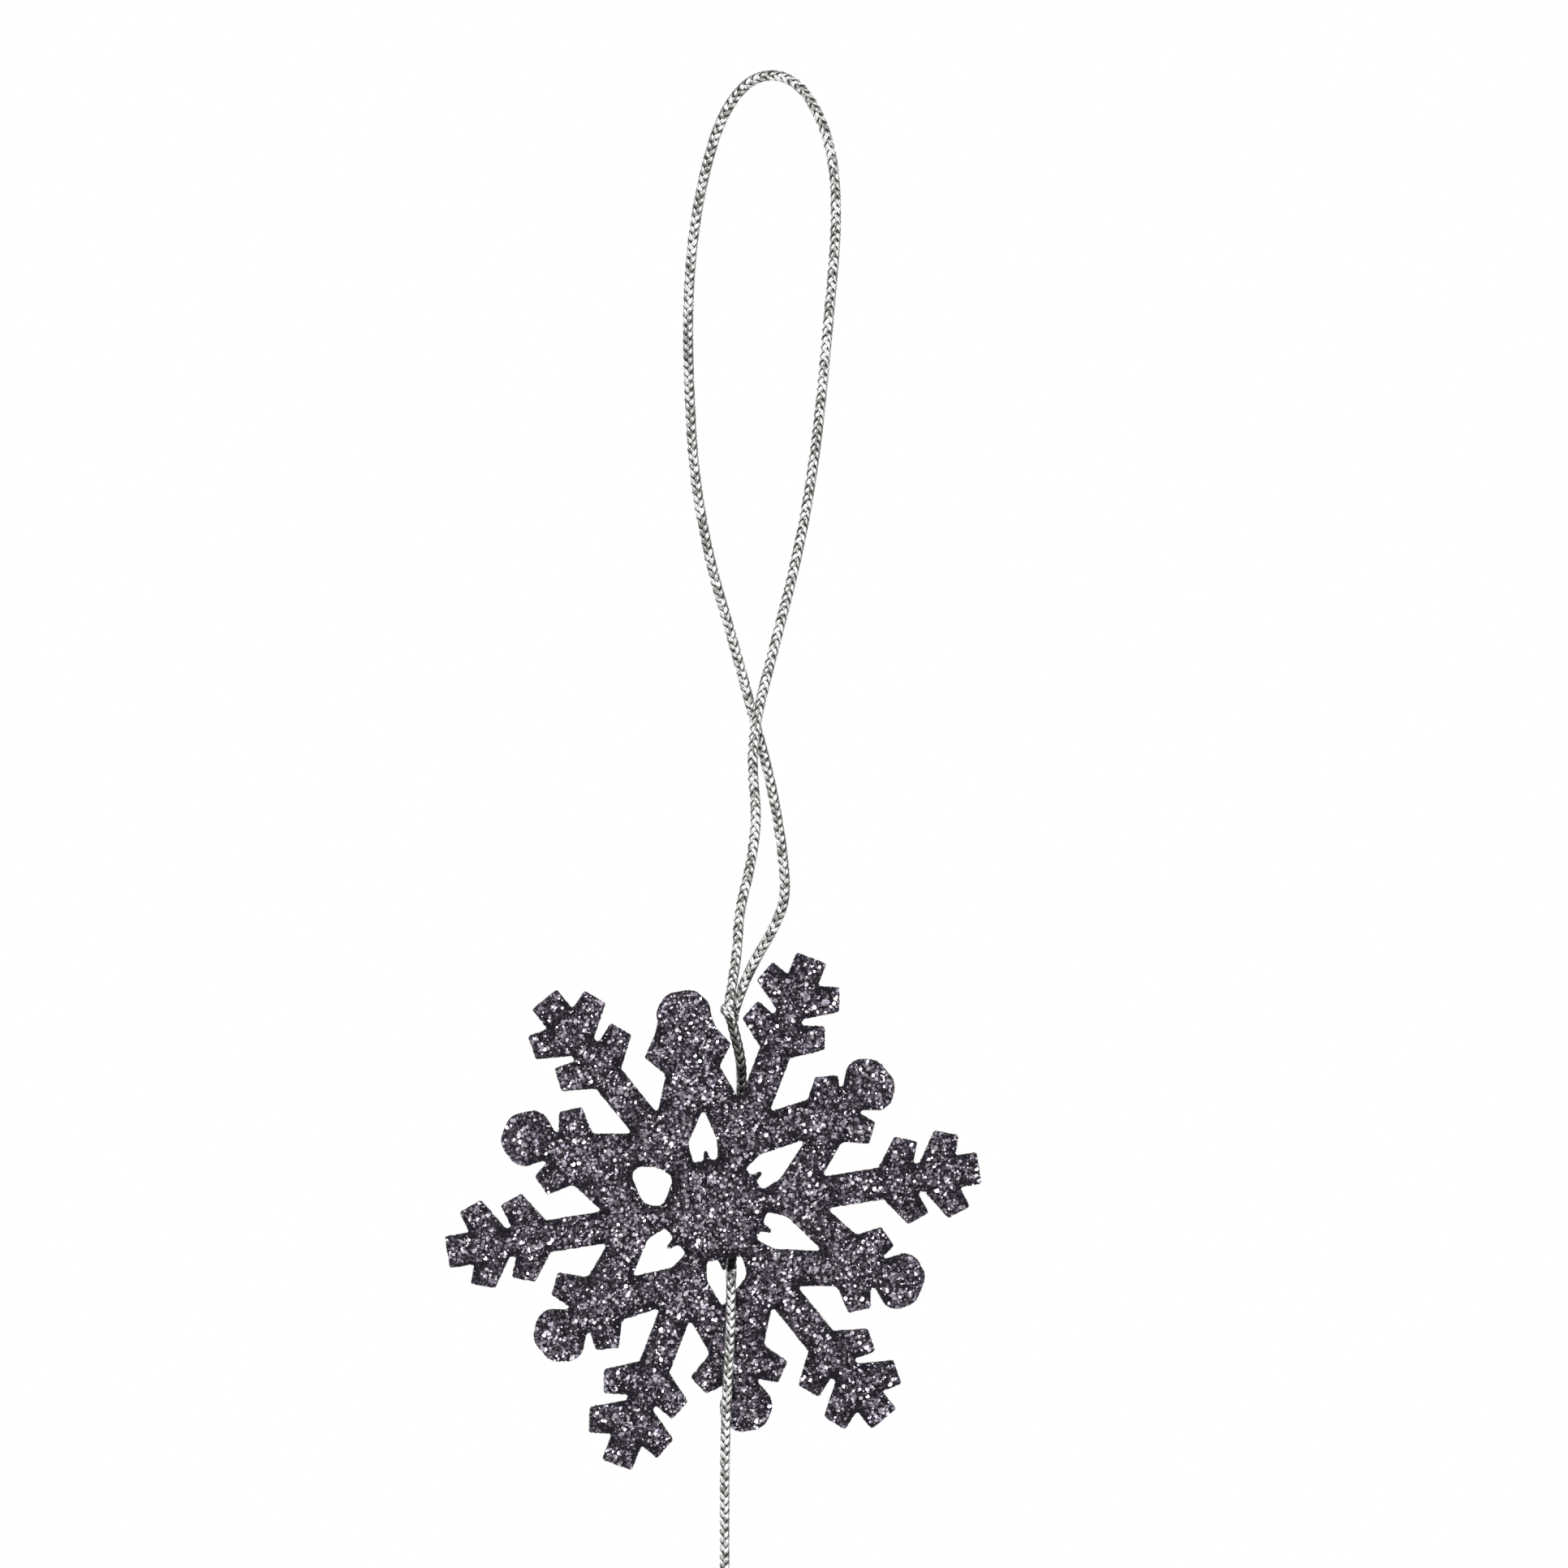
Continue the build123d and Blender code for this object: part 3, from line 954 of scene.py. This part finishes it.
bpy.ops.object.modifier_add(type="SUBSURF")
glue.modifiers[0].levels = 1
glue.modifiers[0].render_levels = 1
bpy.ops.object.modifier_apply(modifier=glue.modifiers[0].name)
bpy.ops.object.shade_smooth()
print(f"{glue.name}: {len(glue.data.polygons)} faces")

# %% Make the glue's material
def set_glue():
    """Cloudy hot glue that has set."""
    material, shader, place = new_finish("set_hot_glue")
    cloud = place.noise(520.0, 4.0)
    bubbles = place.node(
        "ShaderNodeTexVoronoi", None, {"Vector": place, "Scale": 1900.0}, "Distance"
    )
    bubble = 1 - bubbles.between(0.1, 0.2)
    colour = cloud.ramp((0.3, (0.6, 0.56, 0.46)), (0.7, (0.82, 0.8, 0.72)))
    bump = place.node(
        "ShaderNodeBump",
        None,
        {"Strength": 0.4, "Distance": 0.0002, "Height": cloud + 0.25 * bubble},
    )
    wear(
        shader,
        {
            "Base Color": (0.35 * bubble).mix(colour, (0.95, 0.94, 0.9, 1)),
            "Roughness": 0.22 + 0.15 * cloud,
            "Normal": bump,
            "Subsurface Weight": 0.35,
            "Subsurface Radius": (0.001, 0.0009, 0.0007),
            "Subsurface Scale": 0.6,
            "Coat Weight": 0.3,
        },
    )
    return material


glue.data.materials.append(set_glue())

# %% [markdown]
# ## Tying the looks to the model
#
# The knots, the films, the flakes and the glue each ride on a body of the imported model,
# so that they move with the joints. The cord is limp, but its three meshes get no body:
# only their placement is baked in.

# %% Ride and stand in
def turning(piece):
    """Bakes a cord's placement into its mesh."""
    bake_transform(piece)


turning(loop_braid)
turning(neck_braid)
turning(tail_braid)
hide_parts("hanging_loop", "left_strand", "right_strand")
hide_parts("neck_cord", "back_cord")
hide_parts("tail_bend", "tail_cord")
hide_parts("loop_knot")
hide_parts("end_knot")
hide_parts("front_glitter_coat")
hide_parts("back_glitter_coat")
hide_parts("glue_dab")
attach(loop_knot, "strands")
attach(end_knot, "tail")
for piece in (front_film, back_film, glue, *flakes):
    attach(piece, "snowflake")

# %% [markdown]
# ## Floor and light
#
# The ornament hangs above a small pale floor in a bright white surround. The glitter
# needs something dark to reflect between the lamps, or it goes flat, so the surround
# that lights it is dimmer than the one that the camera sees behind it.

# %% Lay the floor
FLOOR_Z = -185 * MM
bpy.ops.object.select_all(action="DESELECT")
bpy.ops.mesh.primitive_circle_add(
    vertices=96, radius=0.6, fill_type="NGON", location=(0, 0, FLOOR_Z)
)
floor = bpy.context.object
floor.name = "floor"
floor_finish, floor_shader, floor_place = new_finish("pale_floor")
mottle = floor_place.noise(9.0).ramp((0.3, (0.8, 0.8, 0.8)), (0.7, (0.84, 0.84, 0.84)))
wear(floor_shader, {"Base Color": mottle, "Roughness": 0.9})
floor.data.materials.append(floor_finish)
floor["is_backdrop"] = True

# %% Light it softly
DIM = 0.22  # how strongly the surround lights the ornament
world = bpy.data.worlds.new("pale_surround")
bpy.context.scene.world = world
world.use_nodes = True
tree = world.node_tree
backdrop = tree.nodes["Background"]
seen = Socket(tree.nodes.new("ShaderNodeLightPath").outputs["Is Camera Ray"])
strength = DIM + (1 - DIM) * seen
tree.links.new(strength.output, backdrop.inputs["Strength"])
backdrop.inputs["Color"].default_value = (1, 1, 1, 1)
LIT_PLACE = Vector((0, 0, -0.09))


def soft_lamp(name, place, size, power):
    """A square area lamp that faces the snowflake's middle."""
    bpy.ops.object.light_add(type="AREA", location=place)
    lamp = bpy.context.object
    lamp.name = name
    lamp.data.size = size
    lamp.data.energy = power
    towards = LIT_PLACE - Vector(place)
    lamp.rotation_euler = towards.to_track_quat("-Z", "Y").to_euler()


soft_lamp("key_lamp", (-0.35, -0.55, 0.3), 0.3, 4.9)
soft_lamp("fill_lamp", (0.5, -0.5, -0.02), 0.3, 2.5)
soft_lamp("low_lamp", (-0.15, -0.7, -0.35), 0.2, 0.9)
soft_lamp("back_lamp", (0.35, 0.6, 0.35), 0.4, 3.0)
soft_lamp("far_lamp", (-0.5, 0.5, -0.05), 0.3, 1.5)
bpy.context.scene.view_settings.view_transform = "Standard"

# %% [markdown]
# ## The size before and after
#
# The looks must not change how big the object is, so the box round everything that
# shows is kept from before and after, and both are printed.

# %% Print the sizes before and after
size_after = [list(corner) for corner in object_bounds()]
for name, corners in (("before", size_before), ("after", size_after)):
    sides = [round((high - low) / MM, 2) for low, high in zip(*corners)]
    print(f"{name}: {sides} mm")
